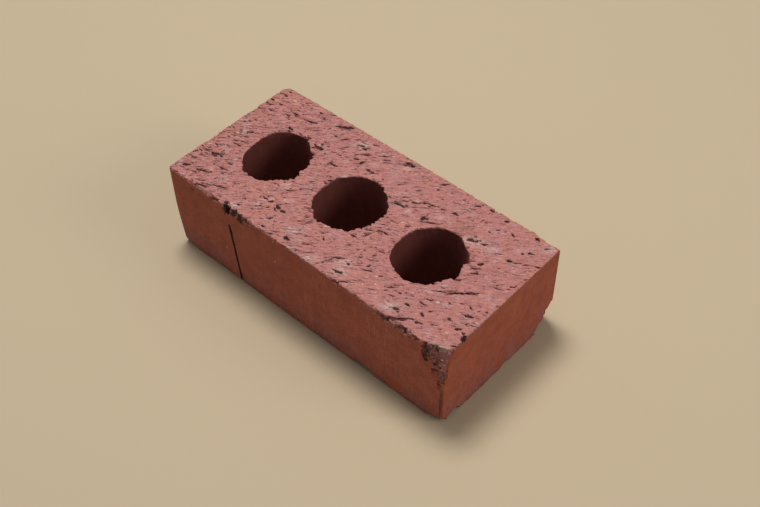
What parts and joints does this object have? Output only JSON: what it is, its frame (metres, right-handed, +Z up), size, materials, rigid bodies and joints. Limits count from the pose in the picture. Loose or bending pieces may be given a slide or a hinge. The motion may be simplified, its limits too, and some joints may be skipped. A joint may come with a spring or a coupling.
{
  "type": "cored clay brick",
  "caption": "Rectangular fired clay brick with round core holes through its wire-cut bed faces, for laying in mortar.",
  "frame": {"origin": "middle of the brick's outline on its lower bed face", "axes": "+X along the length, towards the end with the broken upper front corner; +Y across the width, from the scored front face to the rear face; +Z up, along the core holes, from the lower to the upper bed face"},
  "size_m": [0.194, 0.091, 0.056],
  "materials": {
    "fired_clay": "matte fired red clay, torn and dusty pink on the wire-cut bed faces, smoother and browner on the sides"
  },
  "bodies": {
    "root": {"brick": "fired_clay"}
  },
  "joints": []
}
